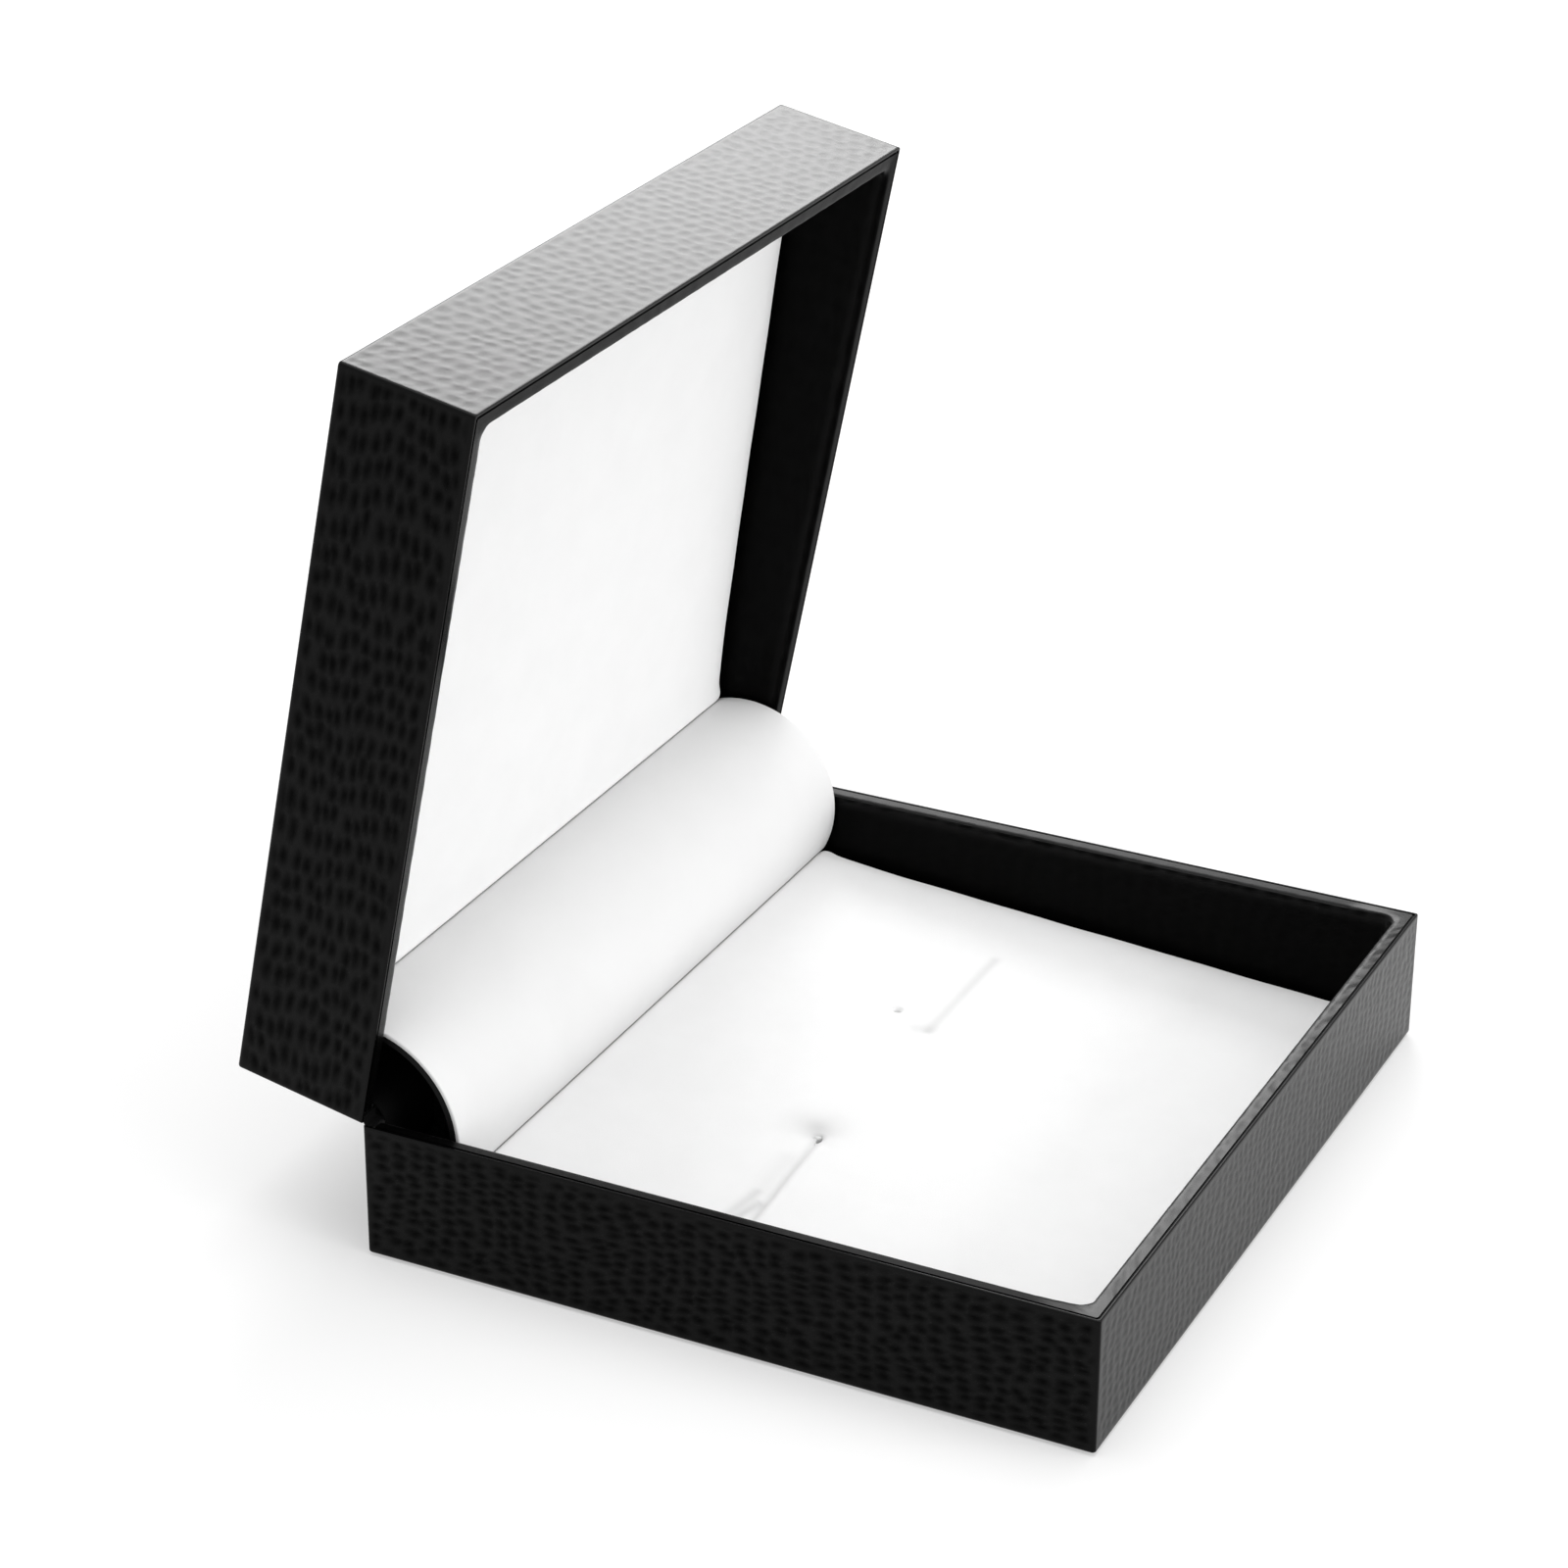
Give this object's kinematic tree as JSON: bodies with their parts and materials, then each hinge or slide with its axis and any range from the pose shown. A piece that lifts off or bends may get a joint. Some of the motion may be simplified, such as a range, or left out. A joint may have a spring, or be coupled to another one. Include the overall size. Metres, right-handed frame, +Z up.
{
  "type": "jewelry box",
  "caption": "Hinged presentation box, nearly square, in black embossed leatherette, standing open, with white velvet lid panel, slitted jewelry pad and a rounded velvet cover over the hinge.",
  "frame": {"origin": "centre of the base's footprint, on the surface that the box stands on", "axes": "+X along the hinge, to the right seen from the front; +Y from the front to the hinge; +Z up"},
  "size_m": [0.115, 0.1183, 0.1207],
  "materials": {
    "leatherette": "satin",
    "black_paper": "matte",
    "greyboard": "matte",
    "card": "matte",
    "foam": "matte",
    "velvet": "matte",
    "black_plastic": "matte",
    "spring_steel": "satin",
    "steel": "satin"
  },
  "bodies": {
    "base": {"base_floor_board": "greyboard", "base_front_board": "greyboard", "base_left_board": "greyboard", "base_right_board": "greyboard", "base_back_board": "greyboard", "base_wrap": "leatherette", "base_liner": "leatherette", "base_bottom_sheet": "black_paper", "base_floor_lining": "black_paper", "hinge_base_leaf": "steel", "base_rivets": "steel", "hinge_pin": "steel", "hinge_spring": "spring_steel"},
    "lid": {"lid_top_board": "greyboard", "lid_front_board": "greyboard", "lid_left_board": "greyboard", "lid_right_board": "greyboard", "lid_back_board": "greyboard", "lid_wrap": "leatherette", "lid_liner": "leatherette", "lid_panel_board": "card", "lid_panel_foam": "foam", "lid_panel_cover": "velvet", "hinge_lid_leaf": "steel", "lid_rivets": "steel"},
    "hinge_cover": {"hinge_cover_plate": "black_plastic", "hinge_cover_fabric": "velvet", "hinge_cover_left_arm": "black_plastic", "hinge_cover_right_arm": "black_plastic"},
    "pad": {"pad_board": "card", "pad_foam": "foam", "pad_cover": "velvet"}
  },
  "joints": [
    {"name": "lid_hinge", "type": "hinge", "parent": "base", "child": "lid", "pos_m": [0, 0.05, 0.019], "axis": [1, 0, 0], "range_deg": [0, 78.7]},
    {"name": "cover_pivot", "type": "hinge", "parent": "base", "child": "hinge_cover", "pos_m": [0, 0.05, 0.019], "axis": [1, 0, 0], "range_deg": [0, 39.35]},
    {"name": "pad_lift", "type": "hinge", "parent": "base", "child": "pad", "pos_m": [0, 0.03917, 0.0097], "axis": [-1, 0, 0], "range_deg": [0, 15]}
  ],
  "couplings": [
    {"joint": "cover_pivot", "follows": "lid_hinge", "ratio": 0.5}
  ]
}
